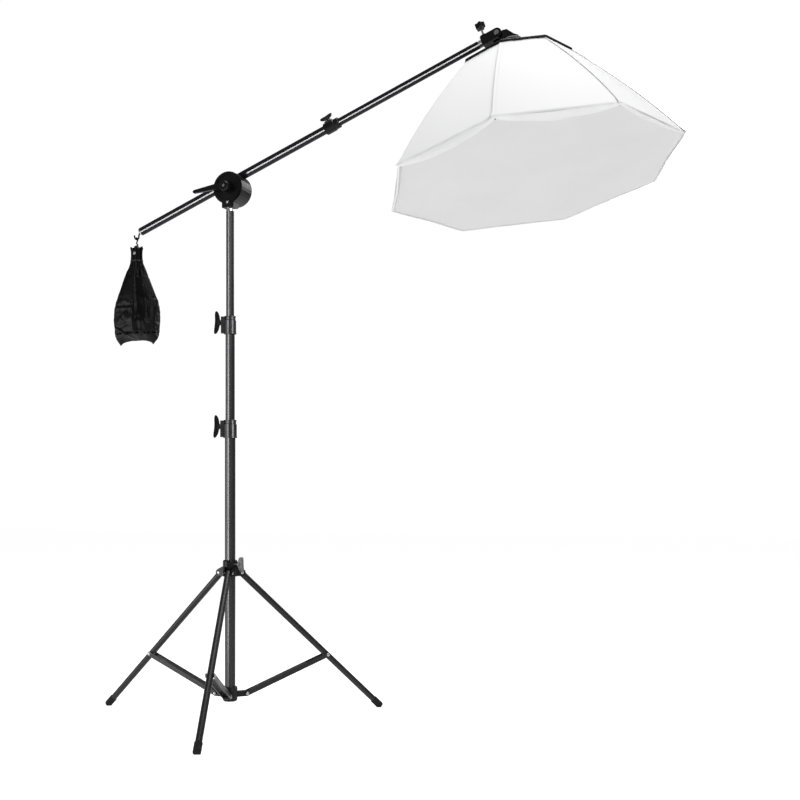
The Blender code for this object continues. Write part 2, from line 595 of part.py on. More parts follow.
def make_head(look, inner):
    """Socket that rolls on the boom's stud, its thumb screw, and the hinge bolt."""
    roll = frame("head_roll", move(HEAD_X - INNER_SPAN[0]) @ turn(HEAD_ROLL, "X"), inner)
    hinge = HINGE_X - HEAD_X
    lug = arc((hinge, 0), 0.0112, -90, 90, 12)
    outline = [(0, -0.0090), (0.0020, -0.0112), *lug, (0.0150, 0.0112), (0.0135, 0.0124), (0.0040, 0.0124)]
    outline.append((0, 0.0095))
    stand_up = turn(math.pi / 2, "X")
    socket = piece("head_socket", prism(outline, -0.0105, 0.0105), look["plastic"], roll, stand_up)
    slot = (box((0.0235, -0.02, -0.0050), (0.06, 0.02, 0.0050)), Matrix())
    bore = (rod(0.0050 + GAP, -0.01, 0.0155), ALONG_X)
    screw_x = 0.0085
    down = stand_up.inverted()
    upward = (rod(0.0027, 0.0, 0.02, 12), down @ move(screw_x))
    pin = (rod(0.0030 + GAP, -0.02, 0.02, 12), move(hinge))
    shape(socket, [slot, bore, upward, pin], "DIFFERENCE")
    screw = frame("thumb_screw_axis", move(screw_x), roll)
    piece("thumb_screw", rod(0.0024, 0.0050 + GAP, 0.0400, 12), look["chrome"], screw)
    lobes = [2 * math.pi * k / 30 for k in range(30)]
    star = [((0.0098 + 0.0018 * math.cos(5 * a)) * math.cos(a),
             (0.0098 + 0.0018 * math.cos(5 * a)) * math.sin(a)) for a in lobes]
    knob = piece("thumb_knob", prism(star, 0.0330, 0.0450), look["plastic"], screw, smooth=False)
    shape(knob, [(rod(0.0024 + GAP, 0.03, 0.0400 + GAP, 12), Matrix())], "DIFFERENCE")
    return frame("softbox_tilt", move(hinge) @ turn(BOOM_ANGLE - FACE_OUT, "Y"), roll)


def make_lamp(look, box_frame):
    """Hinge fork and bolt, lamp holder, back plate, lamp socket and bulb, all on the softbox's axis."""
    top = PLATE_Z + 0.0620
    outline = arc((0, 0), 0.0105, 200, 60, 10) + [(0.0125, 0.0015), (0.0240, 0.0005), (0.0385, -0.0150)]
    outline += [(0.0480, -0.0215), (0.0480, top + GAP), (0.0105, top + GAP), (0.0020, -0.0112)]
    stand_up = turn(math.pi / 2, "X")
    fork = piece("tilt_fork", prism(outline, -0.0098, 0.0098), look["plastic"], box_frame, stand_up)
    tongue = []
    for sign in (-1, 1):
        low, high = sorted((sign * 0.0047, sign * 0.0200))
        tongue.append((box((-0.03, -0.03, low), (0.0125, 0.02, high)), Matrix()))
    pin = (rod(0.0030 + GAP, -0.02, 0.02, 12), Matrix())
    shape(fork, [*tongue, pin], "DIFFERENCE")
    bolt = [(0, -0.0130), (0.0050, -0.0130), (0.0055, -0.0124), (0.0055, -0.0108), (0.0030, -0.0108)]
    bolt += [(0.0030, 0.0108), (0.0055, 0.0108), (0.0055, 0.0124), (0.0050, 0.0130), (0, 0.0130)]
    piece("hinge_bolt", lathe(bolt, 12), look["steel"], box_frame, ALONG_Y)

    axis = move(AXIS_X)
    low = PLATE_Z + 0.0153
    holder = [(0, low), (0.0360, low), (0.0360, low + 0.0050), (0.0270, low + 0.0110)]
    holder += [(0.0245, top - 0.0040), (0.0225, top), (0, top)]
    piece("lamp_holder", lathe(holder), look["plastic"], box_frame, axis)
    section = [(0.0260, GAP), (0.1240, GAP), (0.1275, 0.0018), (0.1275, 0.0050), (0.1235, 0.0078)]
    section += [(0.0560, 0.0150), (0.0260, 0.0150)]
    rings = [octagon(radius, PLATE_Z + height) for radius, height in section]
    piece("back_plate", loft(rings, closed=True), look["plastic"], box_frame, axis, smooth=False)
    mouth = PLATE_Z - 0.0450
    socket = [(0, low - GAP), (0.0215, low - GAP), (0.0215, PLATE_Z - 0.0100), (0.0195, mouth)]
    socket += [(0.0140, mouth), (0.0140, mouth + 0.0300), (0, mouth + 0.0300)]
    piece("lamp_socket", lathe(socket), look["plastic"], box_frame, axis)
    lamp = frame("bulb_turn", axis @ move(z=mouth), box_frame)
    cap = [(0, 0.0260), (0.0080, 0.0260), (0.0130, 0.0220), (0.0130, -0.0020), (0, -0.0020)]
    piece("bulb_cap", lathe(cap, 20), look["brass"], lamp)
    neck = [(0, -0.0023), (0.0135, -0.0023), (0.0160, -0.0120), (0.0290, -0.0420)]
    globe = -0.0620
    round_end = [(BULB_RADIUS * math.cos(a), globe - BULB_RADIUS * math.sin(a)) for a in (0.0, 0.5, 1.0)]
    piece("bulb_globe", lathe(neck + round_end + [(0, globe - BULB_RADIUS)], 20), look["glass"], lamp)


def make_softbox(look, box_frame):
    """White canopy, diffuser and the umbrella frame of eight sprung ribs inside them."""
    axis = move(AXIS_X)
    rim = PLATE_Z - CANOPY_DEPTH
    steps = [k / 5 for k in range(6)]
    outside = [octagon(canopy_radius(t), rim + CANOPY_DEPTH * t) for t in steps]
    inside = [octagon(canopy_radius(t) - 1.15 * CLOTH, rim + CANOPY_DEPTH * t) for t in steps[:-1]]
    ceiling = PLATE_Z - CLOTH
    inside += [octagon(BACK_RADIUS - 1.15 * CLOTH, ceiling), octagon(0.0400, ceiling)]
    outside.append(octagon(0.0400, PLATE_Z))
    shell = loft(outside + inside[::-1], closed=True)
    piece("canopy", shell, look["white"], box_frame, axis, smooth=False)
    face = rim + 0.0080
    front = loft([octagon(RIM_RADIUS - 0.0115, face), octagon(RIM_RADIUS - 0.0135, face + CLOTH)])
    piece("diffuser", front, look["diffuser"], box_frame, axis, smooth=False)

    high, low = PLATE_Z - 0.0060, PLATE_Z - 0.0120
    hub = [(0.0260, low), (0.0400, low), (0.0400, high), (0.0260, high)]
    ribs = piece("rib_frame", lathe(hub, 16), look["steel"], box_frame, axis)
    rods = []
    inset = 0.0085
    for k in range(8):
        path = [(0.0380, 0, PLATE_Z - 0.0090), (BACK_RADIUS - 0.018, 0, PLATE_Z - 0.0110)]
        for t in (0.93, 0.75, 0.5, 0.25, 0.055):
            path.append((canopy_radius(t) - inset, 0, rim + CANOPY_DEPTH * t))
        spin = around(FIRST_CORNER + 2 * math.pi * k / 8)
        rods.append((wire(path, 0.0016, 6), spin))
    shape(ribs, rods, "UNION")


def main():
    for old in list(bpy.data.objects):
        bpy.data.objects.remove(old)
    look = make_looks()
    stand = frame("stand", move(*COLUMN))
    make_tripod(look, stand)
    top = make_column(look, stand)
    tilt = make_pivot(look, top)
    outer, inner = make_boom(look, tilt)
    upright = make_tail_hook(look, stand, outer)
    make_sandbag(look, outer, upright)
    box_frame = make_head(look, inner)
    make_lamp(look, box_frame)
    make_softbox(look, box_frame)
    bpy.context.view_layer.update()


main()
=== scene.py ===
import json
import math

import bmesh
import bpy
from mathutils import Matrix, Vector, noise
from mathutils.bvhtree import BVHTree


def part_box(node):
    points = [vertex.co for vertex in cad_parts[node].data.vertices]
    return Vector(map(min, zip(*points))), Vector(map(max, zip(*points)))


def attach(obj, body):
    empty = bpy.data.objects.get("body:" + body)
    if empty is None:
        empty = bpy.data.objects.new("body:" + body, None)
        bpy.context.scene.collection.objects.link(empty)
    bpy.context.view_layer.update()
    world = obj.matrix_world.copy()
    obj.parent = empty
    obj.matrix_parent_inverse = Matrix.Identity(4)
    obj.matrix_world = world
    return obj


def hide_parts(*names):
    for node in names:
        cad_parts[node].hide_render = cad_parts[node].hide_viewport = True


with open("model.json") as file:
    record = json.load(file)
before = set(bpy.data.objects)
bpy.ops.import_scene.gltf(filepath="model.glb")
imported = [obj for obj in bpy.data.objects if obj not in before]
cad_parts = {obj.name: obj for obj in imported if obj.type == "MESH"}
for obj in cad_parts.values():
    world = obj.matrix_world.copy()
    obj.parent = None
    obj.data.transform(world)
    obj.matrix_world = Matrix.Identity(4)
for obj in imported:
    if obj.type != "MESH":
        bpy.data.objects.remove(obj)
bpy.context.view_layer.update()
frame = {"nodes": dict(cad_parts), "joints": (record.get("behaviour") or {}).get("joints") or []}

JOINTS = {joint["name"]: joint for joint in frame["joints"]}

# --- sizes repeated from part.py, in metres ---
CORNERS = 8
FIRST_CORNER = math.radians(3.3)
BULB_DROP = 0.045  # from the back plate to the bulb's joint, along the softbox's axis
CANOPY_DEPTH = 0.250
RIM_RADIUS, BACK_RADIUS, CANOPY_BOW = 0.330, 0.125, 0.010
FOOT = (0.396, 0.010)  # a leg's end: distance from the column, height
LEG_RADIUS = 0.0076
BRACE_ON_LEG = 0.309  # from a leg's pivot along the leg

# how far the hem hangs past the rim on each panel, as a share of the slackest one
SLACK = [0.10, 0.05, 0.05, 0.05, 0.12, 1.0, 1.0, 0.35]
HEM_SEAM = 0.105  # where the hem's stitching runs, as a share of the way from the rim to the back

# the bag as it hangs: drop below its top, half width, half depth
BAG_SHAPE = [
    (0.000, 0.0155, 0.0095), (0.010, 0.0132, 0.0088), (0.022, 0.0128, 0.0090), (0.037, 0.0142, 0.0105),
    (0.073, 0.0345, 0.0225), (0.114, 0.0525, 0.0300), (0.1285, 0.0575, 0.0320), (0.145, 0.0595, 0.0335),
    (0.180, 0.0592, 0.0350), (0.213, 0.0582, 0.0285), (0.222, 0.0565, 0.0180), (0.236, 0.0455, 0.0008),
]
BAG_TOP_RISE = 0.0100  # of the gathered cloth round the ring, above the CAD bag
BAG_HEM_ARCH = 0.0110  # the middle of the bag's lower edge above its two corners
NECK = 0.040  # length of the bag's neck
BAG_ROUND = 0.290  # the flat cloth's width, once round the bag
BAG_FRAMES = 30  # of cloth simulation
BAG_REACH = 0.006  # how far the simulation may move a point
BAG_ROWS_HELD, BAG_ROWS_SOFT = 14, 3  # rows of points at the neck that are held, then half held
SAND_GAP = 0.0016  # between the sand and the cloth's middle
BAND_DROP, EYELET_DROP = 0.0330, 0.0150  # below the bag's top

CAMERA_SPOT = (1.110, -2.628, 0.536)
CAMERA_LENS, SENSOR_WIDTH = 56.43, 36.0  # in millimetres
CAMERA_SHIFT = 0.12  # of the picture upward, so that upright lines stay upright
CAMERA_TURN = math.radians(20.8)
CLAMP_NODES = ("lower_clamp", "upper_clamp")
COLUMN_NODES = ("lower_column", "mid_column", "top_column", *CLAMP_NODES)
BOOM_NODES = ("boom_outer_tube", "boom_inner_tube")


# --- camera ---
def make_camera():
    data = bpy.data.cameras.new("camera")
    data.sensor_width = SENSOR_WIDTH
    data.lens = CAMERA_LENS
    data.shift_y = CAMERA_SHIFT
    camera = bpy.data.objects.new("camera", data)
    camera.location = CAMERA_SPOT
    camera.rotation_euler = (math.radians(90), 0, CAMERA_TURN)
    bpy.context.collection.objects.link(camera)
    bpy.context.scene.camera = camera


# --- light and floor ---
WORLD_LIGHT, WORLD_SEEN = 0.20, 1.03  # what the room gives the object, and what the camera sees of it
FLOOR_LIGHT, FLOOR_SEEN = 0.32, 0.80
FLOOR_HALF_WIDTH = 14.0
STRIP_AWAY, STRIP_HEIGHT = 1.5, 0.80  # the upright strips: distance from the column, height of the middle
STRIP_SIZE = (0.42, 1.9)
# each upright strip's turn about the column from the camera, in degrees, and what it falls on
UPRIGHT_STRIPS = (("column", -47, COLUMN_NODES), ("clamp", 52, CLAMP_NODES))
BOOM_STRIP_AWAY, BOOM_STRIP_WIDTH = 1.6, 0.30
BOOM_STRIP_ENDS = (-0.40, 0.80)  # the stretch of the boom that shows the strip, from the pivot


def area_light(name, place, target, size, power, seen=True, along=None):
    """A rectangular light aimed at a point; along is the direction of its long side."""
    data = bpy.data.lights.new(name, "AREA")
    data.shape = "RECTANGLE"
    data.size, data.size_y = size
    data.energy = power
    light = bpy.data.objects.new(name, data)
    light.visible_camera = seen
    back = (Vector(place) - Vector(target)).normalized()
    if along is None:
        turn = back.to_track_quat("Z", "Y").to_matrix().to_4x4()
    else:
        length = Vector(along).normalized()
        back = (back - back.project(length)).normalized()
        turn = Matrix((length.cross(back), length, back)).transposed().to_4x4()
    light.matrix_world = Matrix.Translation(place) @ turn
    bpy.context.collection.objects.link(light)
    return light


def make_studio():
    """A white room with four broad lights, and the strips of make_strips()."""
    bpy.context.scene.view_settings.view_transform = "Standard"
    world = bpy.data.worlds.new("studio")
    bpy.context.scene.world = world
    world.use_nodes = True
    nodes, links = world.node_tree.nodes, world.node_tree.links
    nodes.clear()
    out = nodes.new("ShaderNodeOutputWorld")
    ray = nodes.new("ShaderNodeLightPath")
    mix = nodes.new("ShaderNodeMixShader")
    links.new(ray.outputs["Is Camera Ray"], mix.inputs["Fac"])
    for socket, strength in ((1, WORLD_LIGHT), (2, WORLD_SEEN)):
        background = nodes.new("ShaderNodeBackground")
        background.inputs["Color"].default_value = (1, 1, 1, 1)
        background.inputs["Strength"].default_value = strength
        links.new(background.outputs["Background"], mix.inputs[socket])
    links.new(mix.outputs["Shader"], out.inputs["Surface"])

    mesh = bmesh.new()
    bmesh.ops.create_grid(mesh, x_segments=1, y_segments=1, size=FLOOR_HALF_WIDTH)
    add_piece("studio_floor", mesh, floor_look())
    middle = (0.0, 0.0, 0.9)
    area_light("key_light", (2.8, -2.2, 2.7), middle, (1.4, 1.8), 58)
    area_light("fill_light", (-2.4, -1.6, 0.7), middle, (1.4, 1.4), 26)
    area_light("top_light", (0.2, 0.4, 3.4), middle, (1.8, 1.8), 44)
    area_light("back_light", (0.6, 3.0, 2.2), middle, (1.4, 1.4), 18)
    make_strips()


def make_strips():
    """Narrow lights for the sheen along the column and the boom, which fall on those alone."""
    low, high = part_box("lower_column")
    column = (low + high) / 2
    for name, degrees, names in UPRIGHT_STRIPS:
        facing = Matrix.Rotation(math.radians(degrees), 3, "Z") @ (Vector(CAMERA_SPOT) - column)
        spot = column + Vector((facing.x, facing.y, 0)).normalized() * STRIP_AWAY
        spot.z = STRIP_HEIGHT
        target = (column.x, column.y, spot.z)
        strip = area_light(f"{name}_strip", spot, target, STRIP_SIZE, 60, False, (0, 0, 1))
        falls_on(strip, names)

    axis = Vector(JOINTS["head_roll"]["axis"]).normalized()
    middle = Vector(JOINTS["boom_tilt"]["pos_m"])
    towards = Vector(CAMERA_SPOT) - middle
    along = towards.dot(axis)
    facing = (towards - axis * along).normalized()
    share = BOOM_STRIP_AWAY / (towards - axis * along).length
    ends = [end + (end - along) * share for end in BOOM_STRIP_ENDS]
    length = abs(ends[1] - ends[0])
    spot = middle + facing * BOOM_STRIP_AWAY + axis * (ends[0] + ends[1]) / 2
    size = (BOOM_STRIP_WIDTH, length)
    strip = area_light("boom_strip", spot, spot - facing, size, 150, False, axis)
    falls_on(strip, BOOM_NODES)


def falls_on(light, names):
    """Keeps a light to these CAD nodes, as flags do in a studio."""
    group = bpy.data.collections.new(light.name + "_receivers")
    for name in names:
        group.objects.link(frame["nodes"][name])
    light.light_linking.receiver_collection = group


# --- materials ---
class Look:
    """A Principled material and the nodes that give it its grain, wear and weave."""

    def __init__(self, name, colour, roughness, metallic=0.0, **sockets):
        self.material = bpy.data.materials.new(name)
        self.material.use_nodes = True
        self.tree = self.material.node_tree
        self.shader = self.tree.nodes["Principled BSDF"]
        self.colour = colour
        self.shader.inputs["Base Color"].default_value = (*colour, 1)
        self.shader.inputs["Roughness"].default_value = roughness
        self.shader.inputs["Metallic"].default_value = metallic
        for socket, value in sockets.items():
            self.shader.inputs[socket.replace("_", " ")].default_value = value
        self.bump = None

    def node(self, kind, **values):
        made = self.tree.nodes.new(kind)
        for name, value in values.items():
            if name in made.inputs:
                made.inputs[name].default_value = value
            else:
                setattr(made, name, value)
        return made

    def link(self, source, target):
        self.tree.links.new(source, target)

    def place(self, stretch=(1, 1, 1), uv=False):
        """Coordinates in metres, stretched along an axis for a drawn or woven look."""
        where = self.node("ShaderNodeTexCoord")
        mapping = self.node("ShaderNodeMapping")
        mapping.inputs["Scale"].default_value = stretch
        self.link(where.outputs["UV" if uv else "Object"], mapping.inputs["Vector"])
        return mapping.outputs["Vector"]

    def noise(self, scale, stretch=(1, 1, 1), detail=4.0, uv=False):
        made = self.node("ShaderNodeTexNoise", Scale=scale, Detail=detail)
        self.link(self.place(stretch, uv), made.inputs["Vector"])
        return made.outputs["Fac"]

    def span(self, value, low, high, start=0.3, end=0.7):
        """A texture's value mapped to a range of its own."""
        made = self.node("ShaderNodeMapRange")
        made.inputs["From Min"].default_value = start
        made.inputs["From Max"].default_value = end
        made.inputs["To Min"].default_value = low
        made.inputs["To Max"].default_value = high
        self.link(value, made.inputs["Value"])
        return made.outputs["Result"]

    def rough(self, value, low, high):
        self.link(self.span(value, low, high), self.shader.inputs["Roughness"])
        return self

    def tint(self, value, other, start=0.3, end=0.7):
        """Base colour drifts between the material's colour and another one."""
        mix = self.node("ShaderNodeMix", data_type="RGBA")
        mix.inputs[6].default_value = (*self.colour, 1)
        mix.inputs[7].default_value = (*other, 1)
        self.link(self.span(value, 0, 1, start, end), mix.inputs["Factor"])
        self.link(mix.outputs[2], self.shader.inputs["Base Color"])
        return self

    def relief(self, height, strength, distance):
        """Adds a bump on top of those before it."""
        bump = self.node("ShaderNodeBump", Strength=strength, Distance=distance)
        self.link(height, bump.inputs["Height"])
        if self.bump:
            self.link(self.bump.outputs["Normal"], bump.inputs["Normal"])
        self.bump = bump
        self.link(bump.outputs["Normal"], self.shader.inputs["Normal"])
        return self

    def weave(self, pitch, strength, distance):
        """Plain weave from the piece's UVs, which are in metres."""
        rows = []
        for axis in ("X", "Y"):
            wave = self.node("ShaderNodeTexWave", bands_direction=axis, Scale=0.314 / pitch)
            self.link(self.place(uv=True), wave.inputs["Vector"])
            rows.append(wave.outputs["Fac"])
        mix = self.node("ShaderNodeMath", operation="MULTIPLY")
        self.link(rows[0], mix.inputs[0])
        self.link(rows[1], mix.inputs[1])
        return self.relief(mix.outputs["Value"], strength, distance)


def floor_look():
    look = Look("pale_floor", (0.93, 0.93, 0.93), 0.30, Specular_IOR_Level=0.35)
    look.shader.inputs["Emission Color"].default_value = (1, 1, 1, 1)
    ray = look.node("ShaderNodeLightPath")
    glow = look.span(ray.outputs["Is Camera Ray"], FLOOR_LIGHT, FLOOR_SEEN, 0.0, 1.0)
    look.link(glow, look.shader.inputs["Emission Strength"])
    look.rough(look.noise(3.0), 0.26, 0.34)
    return look.material


def make_looks():
    """One look for each of the record's material slots, and one for each colour of thread."""
    looks = {}
    look = Look("satin_dark_grey_paint", (0.014, 0.014, 0.015), 0.30, 0.2, Specular_IOR_Level=0.4)
    look.rough(look.noise(60, (1, 1, 0.15)), 0.24, 0.34)
    look.tint(look.noise(14, (1, 1, 0.3)), (0.020, 0.020, 0.022))
    look.relief(look.noise(900, detail=2), 0.25, 0.00006)
    looks["satin_dark_grey"] = look
    look = Look("gloss_black_paint", (0.002, 0.002, 0.0025), 0.14, Specular_IOR_Level=0.20)
    look.rough(look.noise(45), 0.11, 0.19)
    look.relief(look.noise(260, detail=2), 0.03, 0.00004)
    looks["gloss_black_tube"] = look
    look = Look("moulded_black_plastic", (0.003, 0.003, 0.0035), 0.28, Specular_IOR_Level=0.24)
    look.rough(look.noise(90), 0.22, 0.34)
    look.tint(look.noise(25), (0.007, 0.007, 0.008))
    look.relief(look.noise(1400, detail=3), 0.15, 0.00005)
    looks["black_plastic"] = look
    look = Look("moulded_grey_plastic", (0.13, 0.13, 0.135), 0.46)
    look.rough(look.noise(90), 0.38, 0.54)
    look.tint(look.noise(25), (0.16, 0.16, 0.165))
    look.relief(look.noise(1400, detail=3), 0.35, 0.00008)
    looks["grey_plastic"] = look
    look = Look("polished_chrome", (0.80, 0.80, 0.82), 0.10, 1.0)
    look.rough(look.noise(120, (1, 1, 0.2)), 0.06, 0.18)
    looks["chrome_plate"] = look
    look = Look("zinc_plated_steel", (0.52, 0.52, 0.54), 0.30, 1.0)
    look.rough(look.noise(300), 0.24, 0.40)
    look.tint(look.noise(80), (0.42, 0.42, 0.43))
    look.relief(look.noise(700, detail=3), 0.25, 0.00006)
    looks["zinc_steel"] = look
    look = Look("ribbed_black_rubber", (0.007, 0.007, 0.007), 0.75, Specular_IOR_Level=0.3)
    look.rough(look.noise(160), 0.66, 0.86)
    look.tint(look.noise(40), (0.028, 0.027, 0.026), 0.55, 0.8)
    look.relief(look.noise(1100, detail=4), 0.5, 0.00015)
    looks["black_rubber"] = look
    look = Look("white_nylon", (0.90, 0.90, 0.905), 0.78, Sheen_Weight=0.25, Sheen_Roughness=0.4)
    look.tint(look.noise(9, uv=True), (0.86, 0.86, 0.87))
    look.weave(0.0011, 0.35, 0.00012)
    look.relief(look.noise(70, detail=5, uv=True), 0.25, 0.0012)
    looks["white_cloth"] = look
    # painted shade: the diffuser's white cloth is given a greyer base colour than the canopy's, standing in
    # for the shade its face lies in
    look = Look("diffusion_nylon_painted_shade", (0.76, 0.76, 0.76), 0.85, Sheen_Weight=0.15, Sheen_Roughness=0.5)
    look.tint(look.noise(7, uv=True), (0.73, 0.73, 0.735))
    look.weave(0.0009, 0.30, 0.00010)
    look.relief(look.noise(60, detail=5, uv=True), 0.15, 0.0008)
    looks["diffusion_cloth"] = look
    look = Look("coated_black_nylon", (0.0010, 0.0010, 0.0012), 0.36, Specular_IOR_Level=0.15)
    look.rough(look.noise(55, uv=True), 0.30, 0.44)
    look.tint(look.noise(24, uv=True), (0.0022, 0.0022, 0.0026))
    look.weave(0.0010, 0.35, 0.00020)
    look.relief(look.noise(130, detail=6, uv=True), 0.30, 0.0012)
    looks["black_nylon"] = look
    look = Look("dry_sand", (0.45, 0.36, 0.24), 0.95)
    look.tint(look.noise(700), (0.30, 0.23, 0.15))
    look.relief(look.noise(1500), 0.8, 0.0004)
    looks["sand"] = look
    look = Look("opal_bulb", (0.88, 0.88, 0.86), 0.28, Subsurface_Weight=0.2)
    look.rough(look.noise(40), 0.22, 0.34)
    looks["bulb_plastic"] = look
    look = Look("bulb_cap_nickel", (0.66, 0.62, 0.50), 0.28, 1.0)
    look.rough(look.noise(200), 0.20, 0.38)
    looks["bulb_cap_metal"] = look
    look = Look("white_thread", (0.80, 0.80, 0.80), 0.7)
    look.relief(look.noise(2500), 0.5, 0.0002)
    looks["thread"] = look
    look = Look("black_thread", (0.020, 0.020, 0.022), 0.6)
    look.relief(look.noise(2500), 0.5, 0.0002)
    looks["dark_thread"] = look
    return looks


# --- mesh helpers ---
def add_piece(name, mesh, material):
    data = bpy.data.meshes.new(name)
    mesh.to_mesh(data)
    mesh.free()
    for face in data.polygons:
        face.use_smooth = True
    data.materials.append(material)
    made = bpy.data.objects.new(name, data)
    bpy.context.collection.objects.link(made)
    return made


def grid_sheet(rows, coordinates, closed=False):
    """A sheet from rows of points, with a UV in metres for every point."""
    mesh = bmesh.new()
    layer = mesh.loops.layers.uv.new("cloth")
    made = [[mesh.verts.new(p) for p in row] for row in rows]
    count = len(rows[0])
    for r in range(len(rows) - 1):
        for c in range(count if closed else count - 1):
            n = (c + 1) % count
            face = mesh.faces.new([made[r][c], made[r][n], made[r + 1][n], made[r + 1][c]])
            spots = ((r, c), (r, c + 1), (r + 1, c + 1), (r + 1, c))
            for loop, (i, j) in zip(face.loops, spots):
                loop[layer].uv = coordinates(i, j)
    return mesh


def use_modifier(made, kind, **values):
    modifier = made.modifiers.new(kind.lower(), kind)
    for name, value in values.items():
        setattr(modifier, name, value)
    return modifier


def apply_modifiers(made):
    """Bakes what the modifiers make into the mesh."""
    view = bpy.context.evaluated_depsgraph_get()
    data = bpy.data.meshes.new_from_object(made.evaluated_get(view))
    made.modifiers.clear()
    old, made.data = made.data, data
    bpy.data.meshes.remove(old)
    return made


# --- softbox ---
CLOTH_INSET = 0.0012  # of the canopy's cloth from the CAD sheet's middle
PANEL_PULL = 0.0070  # of a panel's middle towards the axis, where the cloth is drawn tight
HEM_PUFF, HEM_DENT = 0.0030, 0.0006  # of the hem between its edge and its stitching, and at the stitching
TAUT_DROP, SLACK_DROP = 0.0014, 0.0140  # of the hem's edge below the rim
LIP_SHARE = 0.05  # the lip's length as a share of a panel's
BACK_SHARE = 0.08  # of each ring of cloth under the back plate
PANEL_LENGTH = 0.34  # of the flat cloth, rim to back
TUCKED_RINGS = (0.92, 0.7, 0.5, 0.36)  # the cloth under the back plate, as shares of its radius
SEAM_WIDTH, SEAM_HEIGHT = 0.0042, 0.0011  # of the bound seam over a rib: half width, rise in the middle
THREAD = 0.00035  # radius
FACE_INSET = 0.0052  # of the diffuser's edge from the rim's corners
DIFFUSER_SAG = 0.0075
RIB_TIP = 0.0022  # radius


def softbox_frame():
    """The softbox's own axes: z from the rim to the back plate, whose underside is z = 0."""
    up = Vector(JOINTS["bulb_turn"]["axis"]).normalized()
    up = up if up.z > 0 else -up
    side = Vector(JOINTS["softbox_tilt"]["axis"]).normalized()
    side = side if side.y > 0 else -side
    rows = Matrix((side.cross(up), side, up)).transposed().to_4x4()
    return Matrix.Translation(Vector(JOINTS["bulb_turn"]["pos_m"]) + up * BULB_DROP) @ rows


def canopy_radius(part):
    """The rim's corners are at part 0, the back plate's at part 1."""
    return RIM_RADIUS + (BACK_RADIUS - RIM_RADIUS) * part + CANOPY_BOW * 4 * part * (1 - part)


def panel_point(panel, across, part, lift=0.0):
    """A point of the canopy: across 0 to 1 between two ribs, part 0 at the rim to 1 at the back."""
    radius = canopy_radius(part) - CLOTH_INSET
    ends = []
    for k in (panel, panel + 1):
        angle = FIRST_CORNER + 2 * math.pi * k / CORNERS
        ends.append(Vector((radius * math.cos(angle), radius * math.sin(angle), CANOPY_DEPTH * (part - 1))))
    point = ends[0].lerp(ends[1], across)
    outward = Vector((point.x, point.y, 0)).normalized()
    crown = 4 * across * (1 - across)
    pull = PANEL_PULL * math.sin(math.pi * min(1.0, 0.25 + 0.75 * part)) * crown
    spot = Vector((across * 3.1 + panel * 7.7, part * 3.7, panel * 2.3))
    soft = noise.noise(spot) * 0.0022 + noise.noise(spot * 2.7) * 0.0011
    puff = HEM_PUFF * math.exp(-(((part - 0.035) / 0.045) ** 2)) * crown ** 0.5
    crease = -HEM_DENT * math.exp(-(((part - HEM_SEAM) / 0.009) ** 2)) * crown ** 0.3
    edge = min(1.0, crown * 2.2)
    return point + outward * (soft * edge * 0.9 + puff + crease - pull + lift)


def slack_at(panel, across):
    """Slack changes smoothly from one panel to the next at a rib."""
    near = 0.5 * (SLACK[panel] + SLACK[panel - 1 if across < 0.5 else (panel + 1) % CORNERS])
    return near + (SLACK[panel] - near) * math.sin(math.pi * across) ** 0.5 if 0 < across < 1 else near


def lip_point(panel, across, reach):
    """The hem that hangs past the rim: reach 0 at the rim to 1 at its free edge."""
    crown = 4 * across * (1 - across)
    slack = slack_at(panel, across)
    start = panel_point(panel, across, 0.0)
    drop = TAUT_DROP + slack * SLACK_DROP * crown ** 0.75
    wave = 0.0010 * math.sin(across * 17 + panel * 2.1) * crown
    inward = Vector((start.x, start.y, 0)).normalized() * -slack * (0.0040 * reach ** 2 + wave * reach)
    return start + inward + Vector((0, 0, -drop * reach))


def make_canopy(place, looks):
    """One sheet: the lip that hangs past the rim, the eight panels, and the cloth under the back plate."""
    across_steps, depth_steps, lip_steps = 26, 54, 6
    rows, parts = [], []
    for r in range(lip_steps, 0, -1):
        reach = r / lip_steps
        parts.append(-reach * LIP_SHARE)
        rows.append([(k, s / across_steps, -reach) for k in range(CORNERS) for s in range(across_steps)])
    for r in range(depth_steps + 1):
        part = (r / depth_steps) ** 1.15
        parts.append(part)
        rows.append([(k, s / across_steps, part) for k in range(CORNERS) for s in range(across_steps)])
    points = []
    for row in rows:
        line = []
        for panel, across, part in row:
            line.append(lip_point(panel, across, -part) if part < 0 else panel_point(panel, across, part))
        points.append(line)
    last = points[-1]
    for inset in TUCKED_RINGS:
        points.append([Vector((p.x * inset, p.y * inset, -0.0013)) for p in last])
        parts.append(parts[-1] + BACK_SHARE)
    pitch = 2 * RIM_RADIUS * math.pi / (CORNERS * across_steps)
    mesh = grid_sheet(points, lambda r, c: (c * pitch, parts[r] * PANEL_LENGTH), closed=True)
    canopy = add_piece("canopy_cloth", mesh, looks["white_cloth"].material)
    use_modifier(canopy, "SOLIDIFY", thickness=0.0011, offset=1.0)
    apply_modifiers(canopy)
    canopy.data.transform(place)
    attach(canopy, "softbox")
    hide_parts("canopy")

    pieces = [make_hem(place, looks), make_rib_seams(place, looks), make_stitching(place, looks)]


